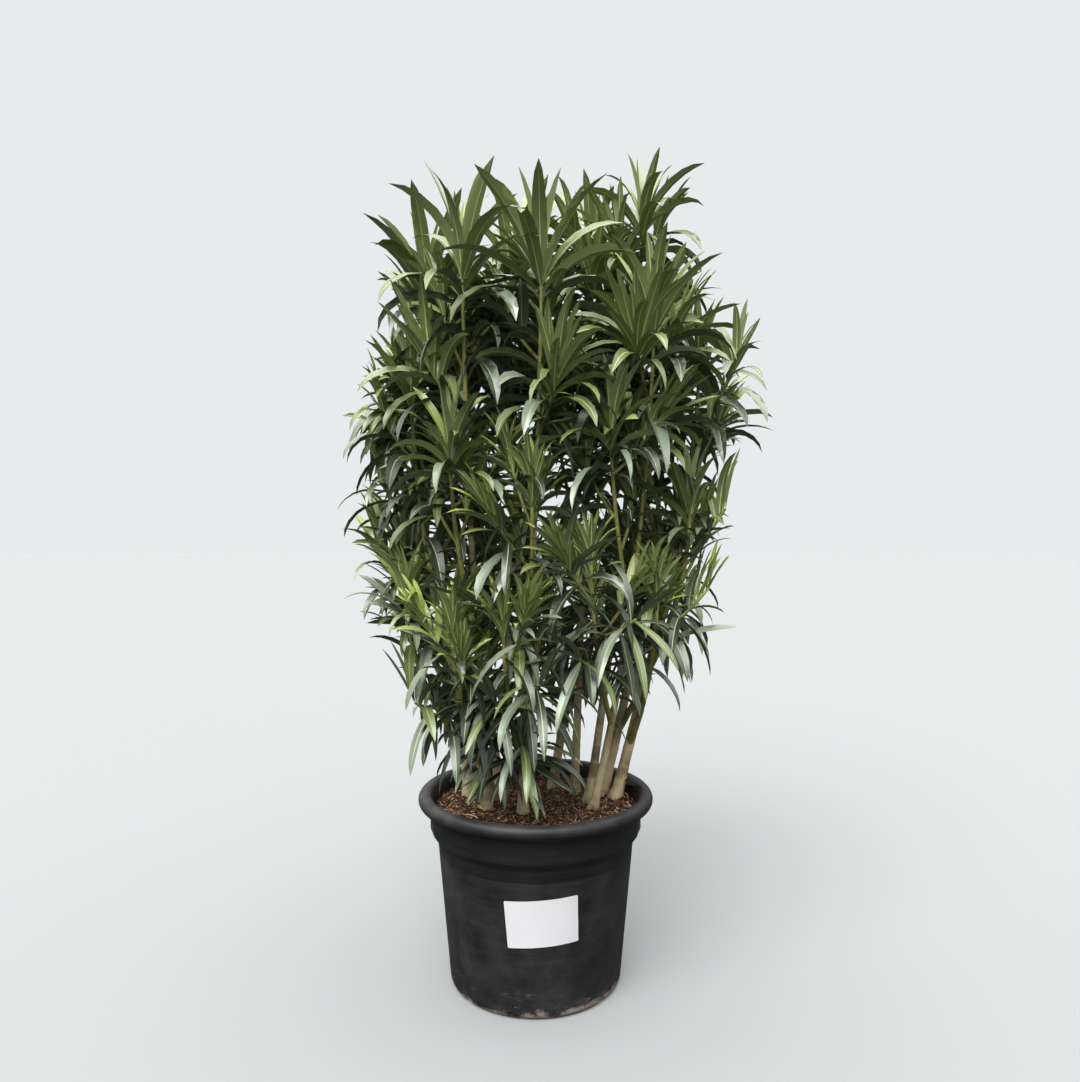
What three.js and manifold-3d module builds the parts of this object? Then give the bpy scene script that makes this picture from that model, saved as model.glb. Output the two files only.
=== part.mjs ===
import * as THREE from "three";
import { mergeVertices } from "three/addons/utils/BufferGeometryUtils.js";
import Module from "manifold-3d";

// Oleander in a nursery pot: a tall evergreen shrub of many stems, with long narrow leaves in whorls.
// Millimetres, +Z up. The origin is the centre of the pot's flat underside, and -Y is the front.

const gap = 0.3; // between two pieces that meet
const degree = Math.PI / 180;

// Nursery pot, a thin tapered shell with a rolled rim over a straight band
const rimRadius = 250; // outermost
const rollRadius = 14.5;
const rimHeight = 382; // middle of the roll
const bandRadius = 221;
const bandBottom = 314;
const wallTopRadius = 209;
const wallTop = 302; // where the shoulder starts to step out to the band
const wallFootRadius = 182;
const wallFoot = 14;
const standRadius = 170; // edge of the flat underside
const potWall = 4;
const potFloor = 6;
const potSides = 40;
const drainAngle = 48; // of the drain notches, from the front and from the back
const drainWidth = 22;
const drainHeight = 9;
const drainDepth = 26;

// Soil, level with the stems' flat feet
const soilTop = 350;

// Blank label, stuck on the wall under the band
const labelWidth = 142;
const labelHeight = 93;
const labelThickness = 0.8;
const labelMiddle = 196; // height of its middle
const labelTurn = 4; // degrees to the right of the front
const labelRoll = 3.5; // degrees, its right side up
const labelClearance = 0.4;

// Stems and boughs
const flare = 0.55; // how much wider a stem is at its foot, by the stem's own radius
const flareHeight = 26;
const stemTaper = 0.5; // a stem's radius where it enters its mass, by its radius at the foot
const boughTaper = 0.85;
const boughShare = 0.7; // a bough's radius at its root, by its stem's radius there
const stemSides = 6;
const boughSides = 5;
const stemEnd = 0.56; // the share of a stem's path where it enters its mass
const boughEnd = 0.3;
const sideRise = 350; // the least height of a side shoot over its fork
const forkBelowEnd = 0.08; // the least share of the path between a fork and the stem's end

// Leaves, in whorls along every shoot
const whorlStep = 26; // from one whorl to the next
const whorlsPerSolid = 2; // every second whorl is a solid
const leavesPerWhorl = 3;
const leafLength = 184;
const sideLeafLength = 172;
const youngLeafLength = 118; // at the tip of a young shoot
const leafHalfWidth = 21;
const leafNeck = 1.8; // half the height of the leaf's foot
const leafThickness = 0.014; // by its length
const leafWidest = 0.44; // by its length
const leafClearance = 1.2; // to any other piece
const leafRoom = 1.5; // half the thickness of a leaf
const leafSpacing = 17; // least distance between the middle lines of two leaves of one mass
const twigTipRadius = 4;
const twigsPerMass = 2;
const tipBare = 5; // of a shoot above its first whorl
const axisBare = 16; // of a mass's own stem above the limb that carries it
const twigBare = 20;

// A leaf's angle to its shoot and its bend, which both grow with its distance below the tip
const openAtTip = 10; // degrees
const openMore = 60;
const openWithin = 150;
const bendAtTip = 0.25; // radians over the leaf's length
const bendMore = 1.6;
const bendWithin = 210;

// Each stem has its foot on the soil and its tip at the top of its shoot. Its side shoots leave it lower.
// bow says how much of a stem's spread happens in its lowest third.
const stems = [
  {
    name: "left_front", foot: [-104, 8], tip: [-146, -120, 1480], radius: 11, bow: 0.4,
    sides: [
      { name: "low_left_front", tip: [-160, -190, 768], young: true },
      { name: "middle_left_front", tip: [-165, -172, 1100] },
    ],
  },
  {
    name: "middle", foot: [-28, -24], tip: [12, -150, 1470], radius: 10, bow: 0.3,
    sides: [
      { name: "low_middle", tip: [-60, -215, 785], young: true },
      { name: "middle_front", tip: [-5, -215, 1045], young: true },
    ],
  },
  {
    name: "right_front", foot: [124, 2], tip: [240, -112, 1375], radius: 9, bow: 0.55,
    sides: [
      { name: "low_right_front", tip: [106, -200, 905], young: true },
      { name: "middle_right_front", tip: [148, -165, 1150] },
    ],
  },
  {
    name: "right", foot: [178, 62], tip: [352, -5, 1300], radius: 13, bow: 0.36,
    sides: [
      { name: "low_right", tip: [242, -140, 840], young: true },
      { name: "middle_right", tip: [318, -76, 990] },
    ],
  },
  {
    name: "right_back", foot: [150, 90], tip: [318, 160, 1385], radius: 12, bow: 0.5,
    sides: [{ name: "low_right_back", tip: [300, 84, 860] }],
  },
  {
    name: "tall_right", foot: [118, 54], tip: [238, 72, 1655], radius: 10, bow: 0.5,
    sides: [],
  },
  {
    name: "tall_middle", foot: [88, 112], tip: [128, 150, 1590], radius: 10, bow: 0.4,
    sides: [{ name: "back_middle", tip: [46, 285, 1330] }],
  },
  {
    name: "far_left", foot: [-150, 82], tip: [-240, 50, 1485], radius: 12, bow: 0.35,
    sides: [{ name: "middle_left", tip: [-300, 50, 1130] }],
  },
  {
    name: "left", foot: [-92, 66], tip: [-258, -66, 1225], radius: 12, bow: 0.55,
    sides: [
      { name: "low_left", tip: [-266, -60, 790] },
      { name: "low_far_left", tip: [-300, 96, 905] },
    ],
  },
  {
    name: "back", foot: [-16, 96], tip: [-62, 190, 1560], radius: 10, bow: 0.35,
    sides: [{ name: "low_back", tip: [-10, 280, 900] }],
  },
  {
    name: "back_left", foot: [-84, 134], tip: [-190, 230, 1400], radius: 11, bow: 0.4,
    sides: [{ name: "low_back_left", tip: [-160, 258, 890] }],
  },
  {
    name: "back_right", foot: [38, 152], tip: [184, 246, 1430], radius: 11, bow: 0.4,
    sides: [{ name: "low_back_right", tip: [196, 226, 880] }],
  },
];

const potPlastic = new THREE.MeshStandardMaterial({ color: 0x232324, roughness: 0.55, metalness: 0 });
const soilMix = new THREE.MeshStandardMaterial({ color: 0x6a4433, roughness: 0.95, metalness: 0 });
const labelPaper = new THREE.MeshStandardMaterial({ color: 0xf0f0f2, roughness: 0.6, metalness: 0 });
const stemBark = new THREE.MeshStandardMaterial({ color: 0x8a7656, roughness: 0.85, metalness: 0 });
const boughBark = new THREE.MeshStandardMaterial({ color: 0x7c7a4c, roughness: 0.75, metalness: 0 });
const leafGreen = new THREE.MeshStandardMaterial({ color: 0x3c5a2c, roughness: 0.45, metalness: 0 });
const youngGreen = new THREE.MeshStandardMaterial({ color: 0x6f8a35, roughness: 0.45, metalness: 0 });

const wasm = await Module();
wasm.setup();

// A closed geometry as a solid that can be joined and cut
function solidOf(geometry) {
  const bare = geometry.clone();
  bare.deleteAttribute("normal");
  bare.deleteAttribute("uv");
  const merged = mergeVertices(bare, 1e-4);
  const vertProperties = new Float32Array(merged.attributes.position.array);
  const triVerts = new Uint32Array(merged.index.array);
  return new wasm.Manifold(new wasm.Mesh({ numProp: 3, vertProperties, triVerts }));
}

function geometryOf(solid) {
  const made = solid.getMesh();
  const geometry = new THREE.BufferGeometry();
  geometry.setAttribute("position", new THREE.BufferAttribute(made.vertProperties, 3));
  geometry.setIndex(new THREE.BufferAttribute(made.triVerts, 1));
  return geometry;
}

function named(name, geometry, material) {
  const mesh = new THREE.Mesh(geometry, material);
  mesh.name = name;
  return mesh;
}

// A number from 0 to 1 that depends only on its whole-number keys
function chance(...keys) {
  let state = 20011;
  for (const key of keys) {
    state = (state * 16807 + key * 7919 + 12345) % 2147483647;
    state = (state + (state % 46337) ** 2) % 2147483647;
  }
  return ((state * 16807) % 2147483647) / 2147483647;
}

function vary(low, high, ...keys) {
  return low + (high - low) * chance(...keys);
}

// Radius of the pot's outer wall between its foot and the shoulder
function wallRadius(height) {
  return THREE.MathUtils.mapLinear(height, wallFoot, wallTop, wallFootRadius, wallTopRadius);
}

// Turned shapes are drawn as radius and height, then stood up
function turned(profile, sides) {
  return new THREE.LatheGeometry(profile, sides).rotateX(Math.PI / 2);
}

function makePot() {
  const rollCentre = new THREE.Vector2(rimRadius - rollRadius, rimHeight);
  const rollSteps = 5;
  const profile = [
    new THREE.Vector2(0, 0),
    new THREE.Vector2(standRadius, 0),
    new THREE.Vector2(wallFootRadius, wallFoot),
    new THREE.Vector2(wallTopRadius, wallTop),
    new THREE.Vector2(bandRadius, bandBottom),
    new THREE.Vector2(bandRadius, rimHeight - rollRadius),
  ];
  for (let i = 0; i <= rollSteps; i++) {
    const angle = (-110 + (290 * i) / rollSteps) * degree;
    const out = new THREE.Vector2(Math.cos(angle), Math.sin(angle)).multiplyScalar(rollRadius);
    profile.push(rollCentre.clone().add(out));
  }
  const inner = [
    new THREE.Vector2(bandRadius - potWall, rimHeight - rollRadius),
    new THREE.Vector2(bandRadius - potWall, bandBottom),
    new THREE.Vector2(wallTopRadius - potWall, wallTop),
    new THREE.Vector2(wallFootRadius - potWall, potFloor + 8),
    new THREE.Vector2(wallFootRadius - potWall - 8, potFloor),
    new THREE.Vector2(0, potFloor),
  ];
  let shell = solidOf(turned(profile.concat(inner), potSides));
  for (const middle of [0, 180]) {
    for (const side of [-1, 1]) {
      const angle = (middle + side * drainAngle) * degree;
      const notch = new THREE.BoxGeometry(drainWidth, drainDepth, 2 * drainHeight);
      notch.translate(0, -(wallFootRadius + 2), 0).rotateZ(angle);
      shell = shell.subtract(solidOf(notch));
    }
  }
  return named("pot", geometryOf(shell), potPlastic);
}

function makeSoil() {
  const side = potWall + gap;
  const bottom = potFloor + gap;
  const profile = [
    new THREE.Vector2(0, bottom),
    new THREE.Vector2(wallFootRadius - side - 9, bottom),
    new THREE.Vector2(wallFootRadius - side, wallFoot + 2),
    new THREE.Vector2(wallTopRadius - side, wallTop),
    new THREE.Vector2(bandRadius - side, bandBottom),
    new THREE.Vector2(bandRadius - side, soilTop),
    new THREE.Vector2(0, soilTop),
  ];
  return named("soil", turned(profile, potSides), soilMix);
}

// A thin plate, rolled a little while flat and then bent round the tapered wall
function makeLabel() {
  const plate = new THREE.BoxGeometry(labelWidth, labelThickness, labelHeight, 10, 1, 1);
  plate.rotateY(-labelRoll * degree).translate(0, 0, labelMiddle);
  const place = plate.attributes.position;
  for (let i = 0; i < place.count; i++) {
    const height = place.getZ(i);
    const angle = place.getX(i) / wallRadius(labelMiddle) + labelTurn * degree;
    const out = wallRadius(height) + labelClearance + labelThickness / 2 - place.getY(i);
    place.setXYZ(i, out * Math.sin(angle), -out * Math.cos(angle), height);
  }
  return named("label", plate, labelPaper);
}

// The path of a stem: it leaves the soil at a lean and ends upright
function stemPath(stem) {
  const foot = new THREE.Vector3(stem.foot[0], stem.foot[1], soilTop + gap);
  const tip = new THREE.Vector3(...stem.tip);
  const rise = tip.clone().sub(foot);
  const low = foot.clone().add(new THREE.Vector3(stem.bow * rise.x, stem.bow * rise.y, 0.3 * rise.z));
  const high = tip.clone().sub(new THREE.Vector3(0.08 * rise.x, 0.08 * rise.y, 0.36 * rise.z));
  return new THREE.CubicBezierCurve3(foot, low, high, tip);
}

// The path of a side shoot, which leaves its stem outwards and turns up
function sidePath(stemCurve, tip) {
  const end = new THREE.Vector3(...tip);
  const fork = forkOf(stemCurve, end);
  const rise = end.clone().sub(fork);
  const low = fork.clone().add(new THREE.Vector3(0.5 * rise.x, 0.5 * rise.y, 0.26 * rise.z));
  const high = end.clone().sub(new THREE.Vector3(0.04 * rise.x, 0.04 * rise.y, 0.42 * rise.z));
  return new THREE.CubicBezierCurve3(fork, low, high, end);
}

// A side shoot leaves its stem far enough below its tip to rise steeply
function forkOf(stemCurve, end) {
  const steps = 40;
  let fork = stemCurve.getPoint(0.08);
  for (let i = 4; i < steps * (stemEnd - forkBelowEnd); i++) {
    const point = stemCurve.getPoint(i / steps);
    const across = Math.hypot(end.x - point.x, end.y - point.y);
    if (end.z - point.z < Math.max(sideRise, 1.25 * across)) break;
    fork = point;
  }
  return fork;
}

// Two directions square to a line
function crosswise(along) {
  const reference = Math.abs(along.y) < 0.9 ? new THREE.Vector3(0, 1, 0) : new THREE.Vector3(1, 0, 0);
  const first = new THREE.Vector3().crossVectors(along, reference).normalize();
  const second = new THREE.Vector3().crossVectors(first, along).normalize();
  return [first, second];
}

// A tapering limb with flat ends, from one share of a path to another. A level foot is cut flat on the soil.
function limb(path, from, to, sides, steps, radiusAt, level = false) {
  const column = new THREE.CylinderGeometry(1, 1, 1, sides, steps);
  const place = column.attributes.position;
  for (let i = 0; i < place.count; i++) {
    const share = place.getY(i) + 0.5;
    const at = from + (to - from) * share;
    const [first, second] = crosswise(path.getTangent(at));
    const radius = radiusAt(share);
    const point = path.getPoint(at);
    point.addScaledVector(first, place.getX(i) * radius).addScaledVector(second, place.getZ(i) * radius);
    if (level && share === 0) point.z = path.getPoint(at).z;
    place.setXYZ(i, point.x, point.y, point.z);
  }
  return column;
}

// A stem's radius at a share of its length, with the flare at its foot
function stemRadius(stem, length, share) {
  const taper = 1 - (1 - stemTaper) * share;
  return stem.radius * (taper + flare * Math.exp((-share * length) / flareHeight));
}

// All limbs, each with its path, its radii and what it carries
function planLimbs() {
  const limbs = [];
  stems.forEach((stem, index) => {
    const path = stemPath(stem);
    const length = path.getLength() * stemEnd;
    const radiusAt = (share) => stemRadius(stem, length, share);
    const main = { name: `stem_${stem.name}`, mass: `leaves_${stem.name}`, path, end: stemEnd, radiusAt,
      sides: stemSides, steps: 6, leaf: leafLength, young: false, key: index * 10, from: null };
    limbs.push(main);
    stem.sides.forEach((side, order) => {
      const sideCurve = sidePath(path, side.tip);
      const foot = stem.radius * boughShare * (1 - 0.4 * ((sideCurve.v0.z - soilTop) / 900));
      limbs.push({ name: `bough_${side.name}`, mass: `leaves_${side.name}`, path: sideCurve, end: boughEnd,
        radiusAt: (share) => foot * (1 - (1 - boughTaper) * share), sides: boughSides, steps: 3,
        leaf: sideLeafLength, young: side.young === true, key: index * 10 + order + 1, from: main });
    });
  });
  return limbs;
}

// Distance from a point to a line drawn through points
function distanceTo(point, line) {
  let best = Infinity;
  const near = new THREE.Vector3();
  for (let i = 0; i + 1 < line.length; i++) {
    new THREE.Line3(line[i], line[i + 1]).closestPointToPoint(point, true, near);
    best = Math.min(best, near.distanceTo(point));
  }
  return best;
}

function pointsOf(path, from, to, count) {
  return Array.from({ length: count + 1 }, (_, i) => path.getPoint(from + ((to - from) * i) / count));
}

const limbs = planLimbs();
for (const piece of limbs) {
  piece.line = pointsOf(piece.path, 0, piece.end, 10);
  piece.axis = pointsOf(piece.path, piece.end, 1, 6);
  piece.widest = Math.max(piece.radiusAt(0.12), piece.radiusAt(1));
}

// A point with some room round it is in a mass's own space when it is nearer to that mass's axis than to any
// other, clear of every limb, and clear of the pot and the soil
function inOwnSpace(point, room, own) {
  const mine = distanceTo(point, own.axis);
  for (const other of limbs) {
    if (other !== own && distanceTo(point, other.axis) < mine + 2 * room + leafClearance) return false;
    if (distanceTo(point, other.line) < other.widest + room + leafClearance) return false;
  }
  const out = Math.hypot(point.x, point.y);
  const overRim = point.z > rimHeight + rollRadius + room + leafClearance;
  const inside = out < bandRadius - 40 - room && point.z > soilTop + 14 + room;
  const outside = out > rimRadius + room + leafClearance && point.z > 60;
  return overRim || inside || outside;
}

// A leaf's middle line: it leaves the shoot at a pitch and bends down evenly. share runs from foot to tip.
function leafPoint(leaf, share) {
  const end = leaf.pitch - leaf.droop * share;
  const across = (leaf.length * (Math.sin(leaf.pitch) - Math.sin(end))) / leaf.droop;
  const up = (leaf.length * (Math.cos(end) - Math.cos(leaf.pitch))) / leaf.droop;
  return leaf.root.clone().add(
    new THREE.Vector3(Math.cos(leaf.azimuth) * across, Math.sin(leaf.azimuth) * across, up));
}

// The leaves of one shoot, from its tip down: upright at the tip, then spreading, then hanging
function leavesOf(shoot, step) {
  const leaves = [];
  for (let whorl = 0; whorl * whorlStep < shoot.leafy; whorl += step) {
    const below = tipBare + whorl * whorlStep;
    const at = 1 - below / shoot.length;
    const root = shoot.path.getPoint(at);
    const along = shoot.path.getTangent(at);
    const [first, second] = crosswise(along);
    for (let i = 0; i < leavesPerWhorl; i++) {
      const key = [shoot.key, shoot.order, whorl, i];
      const opened = openMore * (1 - Math.exp(-below / openWithin));
      const open = (openAtTip + opened + vary(-7, 7, ...key, 1)) * degree;
      const turn = 2 * Math.PI * (i / leavesPerWhorl + whorl / 6) + vary(-0.3, 0.3, ...key, 2) + shoot.turn;
      const way = along.clone().multiplyScalar(Math.cos(open));
      way.addScaledVector(first, Math.sin(open) * Math.cos(turn));
      way.addScaledVector(second, Math.sin(open) * Math.sin(turn));
      const grown = Math.min(1, below / (shoot.young ? 130 : 30));
      const young = shoot.young ? youngLeafLength : 0.86 * shoot.leaf;
      leaves.push({
        root,
        azimuth: Math.atan2(way.y, way.x),
        pitch: Math.asin(THREE.MathUtils.clamp(way.z, -0.999, 0.999)),
        droop: bendAtTip + bendMore * (1 - Math.exp(-below / bendWithin)) + vary(-0.12, 0.3, ...key, 3),
        length: (young + (shoot.leaf - young) * grown) * vary(0.88, 1.06, ...key, 4),
      });
    }
  }
  return leaves;
}

// Directions across a leaf and square to its face, at a share of its length
function leafFrame(leaf, share) {
  const pitch = leaf.pitch - leaf.droop * share;
  const side = new THREE.Vector3(-Math.sin(leaf.azimuth), Math.cos(leaf.azimuth), 0);
  const up = new THREE.Vector3(
    -Math.sin(pitch) * Math.cos(leaf.azimuth), -Math.sin(pitch) * Math.sin(leaf.azimuth), Math.cos(pitch));
  return { side, up };
}

// A leaf solid of six corners: an upright edge for its foot, two shoulders over a keel, and its tip
const [footTop, footLow, leftEdge, rightEdge, keel, leafTip] = [0, 1, 2, 3, 4, 5];
const leafFaces = [
  footTop, rightEdge, leftEdge, footTop, leftEdge, footLow, footTop, footLow, rightEdge,
  footLow, leftEdge, keel, footLow, keel, rightEdge,
  leftEdge, rightEdge, leafTip, leftEdge, leafTip, keel, keel, leafTip, rightEdge,
];

function leafSolid(leaf) {
  const foot = leafPoint(leaf, 0);
  const middle = leafPoint(leaf, leafWidest);
  const atFoot = leafFrame(leaf, 0);
  const atMiddle = leafFrame(leaf, leafWidest);
  const corners = [
    foot.clone().addScaledVector(atFoot.up, leafNeck),
    foot.clone().addScaledVector(atFoot.up, -leafNeck),
    middle.clone().addScaledVector(atMiddle.side, leafHalfWidth),
    middle.clone().addScaledVector(atMiddle.side, -leafHalfWidth),
    middle.clone().addScaledVector(atMiddle.up, -2 * leaf.length * leafThickness),
    leafPoint(leaf, 1),
  ];
  return solidOf(new THREE.BufferGeometry().setFromPoints(corners).setIndex(leafFaces));
}

// Points all over a leaf: on its middle line and on both edges, from its foot to its widest place to its tip
function leafOutline(leaf) {
  const { side } = leafFrame(leaf, 0);
  const [foot, middle, end] = [0, leafWidest, 1].map((share) => leafPoint(leaf, share));
  const points = [end];
  const steps = 6;
  for (let i = 1; i < steps; i++) {
    const share = i / steps;
    const inner = foot.clone().lerp(middle, share);
    const outer = end.clone().lerp(middle, share);
    for (const edge of [-1, 0, 1]) {
      points.push(inner.clone().addScaledVector(side, edge * leafHalfWidth * share));
      points.push(outer.clone().addScaledVector(side, edge * leafHalfWidth * share));
    }
  }
  for (const edge of [-1, 0, 1]) points.push(middle.clone().addScaledVector(side, edge * leafHalfWidth));
  return points;
}

// The outer part of a leaf's middle line
function outerLine(leaf) {
  return [0.3, 0.5, 0.75, 1].map((share) => leafPoint(leaf, share));
}

// The leaf, raised or shortened until it keeps to its mass's space and off the leaves before it, or nothing
function fitted(leaf, own, before) {
  for (const size of [1, 0.84, 0.68]) {
    for (const lift of [0, 0.35, 0.7]) {
      const pitch = Math.min(leaf.pitch + lift, 1.45);
      const droop = Math.max(leaf.droop - lift, 0.2);
      const trial = { ...leaf, pitch, droop, length: leaf.length * size };
      const line = outerLine(trial);
      const free = before.every((other) => line.every((point) => distanceTo(point, other) > leafSpacing));
      if (free && leafOutline(trial).every((point) => inOwnSpace(point, leafRoom, own))) return trial;
    }
  }
  return null;
}

// The side twigs of a mass, each a short straight shoot that leaves the axis and rises
function twigsOf(own) {
  const length = own.path.getLength();
  const leafyAxis = length * (1 - own.end);
  const twigs = [];
  for (let i = 0; i < twigsPerMass; i++) {
    const below = leafyAxis * (0.3 + (0.55 * i) / twigsPerMass + vary(0, 0.08, own.key, 50, i, 1));
    const root = own.path.getPoint(1 - below / length);
    const turn = 2.4 * i + vary(0, 6.28, own.key, 50, 0, 2) + vary(-0.3, 0.3, own.key, 50, i, 3);
    const slope = vary(42, 58, own.key, 50, i, 4) * degree;
    const reach = vary(0.42, 0.62, own.key, 50, i, 5) * Math.min(leafyAxis, 300);
    const way = new THREE.Vector3(
      Math.cos(turn) * Math.cos(slope), Math.sin(turn) * Math.cos(slope), Math.sin(slope));
    twigs.push({ root, way, reach, order: i + 1 });
  }
  return twigs;
}

function makeMass(own) {
  const length = own.path.getLength();
  const start = own.end + gap / length;
  const thick = own.radiusAt(1) * 0.95;
  const radiusAt = (share) => thick + (twigTipRadius - thick) * share;
  let solid = solidOf(limb(own.path, start, 1, 3, 3, radiusAt));
  const shoots = [{ path: own.path, length, leafy: length * (1 - own.end) - axisBare, leaf: own.leaf,
    young: own.young, key: own.key, order: 0, turn: vary(0, 2, own.key, 7) }];
  for (const twig of twigsOf(own)) {
    const tip = twig.root.clone().addScaledVector(twig.way, twig.reach);
    const middle = twig.root.clone().lerp(tip, 0.6);
    if (!inOwnSpace(tip, 12, own) || !inOwnSpace(middle, 6, own)) continue;
    const path = new THREE.LineCurve3(twig.root, tip);
    solid = solid.add(solidOf(limb(path, 0, 1, 3, 1, (share) => twigTipRadius * (1.25 - 0.35 * share))));
    shoots.push({ path, length: twig.reach, leafy: Math.min(100, twig.reach - twigBare), leaf: own.leaf * 0.92,
      young: own.young, key: own.key, order: twig.order, turn: vary(0, 2, own.key, 7, twig.order) });
  }
  const before = [];
  for (const shoot of shoots) {
    for (const leaf of leavesOf(shoot, whorlsPerSolid)) {
      const kept = fitted(leaf, own, before);
      if (!kept) continue;
      before.push(outerLine(kept));
      solid = solid.add(leafSolid(kept));
    }
  }
  return named(own.mass, geometryOf(solid), own.young ? youngGreen : leafGreen);
}

// A bough's root is cut to its stem's side, a gap away
function makeLimb(piece) {
  const made = limb(piece.path, 0, piece.end, piece.sides, piece.steps, piece.radiusAt, !piece.from);
  if (!piece.from) return named(piece.name, made, stemBark);
  const stem = piece.from;
  const clear = gap / Math.cos(Math.PI / stem.sides);
  const around = limb(stem.path, 0, stem.end, stem.sides, stem.steps, (share) => stem.radiusAt(share) + clear);
  return named(piece.name, geometryOf(solidOf(made).subtract(solidOf(around))), boughBark);
}

const plant = new THREE.Group();
plant.add(makePot(), makeSoil(), makeLabel());
for (const piece of limbs) plant.add(makeLimb(piece), makeMass(piece));

export default plant;
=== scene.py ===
import bpy
import math
import numpy as np
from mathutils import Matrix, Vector, noise


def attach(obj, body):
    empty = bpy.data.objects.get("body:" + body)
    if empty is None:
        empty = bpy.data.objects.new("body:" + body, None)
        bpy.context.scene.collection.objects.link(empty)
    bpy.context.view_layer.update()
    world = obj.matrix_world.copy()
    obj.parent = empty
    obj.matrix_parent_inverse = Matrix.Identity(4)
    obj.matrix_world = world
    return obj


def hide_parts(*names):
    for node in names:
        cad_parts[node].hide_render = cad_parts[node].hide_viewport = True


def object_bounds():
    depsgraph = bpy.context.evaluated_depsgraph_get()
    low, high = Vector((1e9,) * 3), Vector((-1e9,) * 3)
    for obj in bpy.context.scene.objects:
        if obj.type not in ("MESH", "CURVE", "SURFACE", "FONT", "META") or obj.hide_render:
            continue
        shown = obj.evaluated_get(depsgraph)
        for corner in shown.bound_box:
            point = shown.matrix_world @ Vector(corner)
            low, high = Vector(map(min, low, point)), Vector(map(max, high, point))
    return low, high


# A potted oleander: a tall evergreen shrub of many stems in a black nursery pot.
# The plant's rule works in millimetres, and everything is turned to metres where a mesh is made.

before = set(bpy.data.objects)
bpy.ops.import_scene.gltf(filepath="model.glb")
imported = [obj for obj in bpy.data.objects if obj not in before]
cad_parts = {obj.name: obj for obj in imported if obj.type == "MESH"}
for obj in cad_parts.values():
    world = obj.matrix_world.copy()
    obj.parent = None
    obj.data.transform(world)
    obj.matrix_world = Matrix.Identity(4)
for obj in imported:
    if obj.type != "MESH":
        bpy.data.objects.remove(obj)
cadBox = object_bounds()
mm = 0.001


# Colours and materials

def linearColour(hexText):
    def channel(part):
        value = int(part, 16) / 255
        return value / 12.92 if value <= 0.04045 else ((value + 0.055) / 1.055) ** 2.4
    text = hexText.lstrip("#")
    return tuple(channel(text[i:i + 2]) for i in (0, 2, 4)) + (1.0,)


def grey(value):
    return (value, value, value, 1.0)


# A hex text as a colour, a number as a grey, and another node's output as it is
def toneOf(source):
    if isinstance(source, str):
        return linearColour(source)
    return grey(source) if isinstance(source, (int, float)) else source


# Adds a node with its settings: a property, or an input by name or number, which takes a value or an output
def addNode(tree, kind, settings=None):
    node = tree.nodes.new("ShaderNode" + kind)
    for name, value in (settings or {}).items():
        if isinstance(value, bpy.types.NodeSocket):
            tree.links.new(value, node.inputs[name])
        elif isinstance(name, str) and hasattr(node, name):
            setattr(node, name, value)
        else:
            node.inputs[name].default_value = value
    return node


# Noise of one scale, or of three for its three directions
def addNoise(tree, place, scale, detail, roughness=0.5):
    if isinstance(scale, tuple):
        place, scale = addNode(tree, "Mapping", {"Scale": scale, "Vector": place}).outputs[0], 1.0
    settings = {"Scale": scale, "Detail": detail, "Roughness": roughness, "Vector": place}
    return addNode(tree, "TexNoise", settings).outputs[0]


# A value's range from low to high, turned into one from start to end
def addRange(tree, source, low, high, start=0, end=1):
    return addNode(tree, "MapRange", {0: source, 1: low, 2: high, 3: start, 4: end}).outputs[0]


def addMath(tree, operation, *terms):
    return addNode(tree, "Math", {"operation": operation, **dict(enumerate(terms))}).outputs[0]


def addMix(tree, share, first, second):
    settings = {"data_type": "RGBA", 0: share, 6: toneOf(first), 7: toneOf(second)}
    return addNode(tree, "Mix", settings).outputs[2]


def addRamp(tree, source, stops):
    node = addNode(tree, "ValToRGB", {"Fac": source})
    ramp = node.color_ramp.elements
    while len(ramp) < len(stops):
        ramp.new(0.5)
    for element, (place, tone) in zip(ramp, stops):
        element.position = place
        element.color = toneOf(tone)
    return node.outputs[0]


def addBump(tree, shader, height, strength, distance):
    bump = addNode(tree, "Bump", {"Strength": strength, "Distance": distance, "Height": height})
    tree.links.new(bump.outputs[0], shader.inputs["Normal"])


# A new material with its tree, its shader and the place in the object's own metres
def newMaterial(name, settings):
    material = bpy.data.materials.new(name)
    material.use_nodes = True
    tree = material.node_tree
    shader = tree.nodes["Principled BSDF"]
    for socket, value in settings.items():
        shader.inputs[socket].default_value = linearColour(value) if isinstance(value, str) else value
    return material, tree, shader, addNode(tree, "TexCoord").outputs["Object"]


# Modelling helpers

def deselectAll():
    if bpy.context.mode != "OBJECT":
        bpy.ops.object.mode_set(mode="OBJECT")
    bpy.ops.object.select_all(action="DESELECT")


def selectOnly(piece):
    deselectAll()
    piece.select_set(True)
    bpy.context.view_layer.objects.active = piece


def addObject(name, data):
    piece = bpy.data.objects.new(name, data)
    bpy.context.scene.collection.objects.link(piece)
    return piece


def nameNew(name):
    piece = bpy.context.active_object
    piece.name = name
    piece.data.name = name
    return piece


def applyModifier(piece, kind, **settings):
    selectOnly(piece)
    modifier = piece.modifiers.new(kind.lower(), kind)
    for name, value in settings.items():
        setattr(modifier, name, value)
    bpy.ops.object.modifier_apply(modifier=modifier.name)


def applyPlace(piece):
    selectOnly(piece)
    bpy.ops.object.transform_apply(location=True, rotation=True, scale=True)


def smoothByAngle(piece, degrees):
    selectOnly(piece)
    bpy.ops.object.shade_smooth_by_angle(angle=math.radians(degrees))


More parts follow.
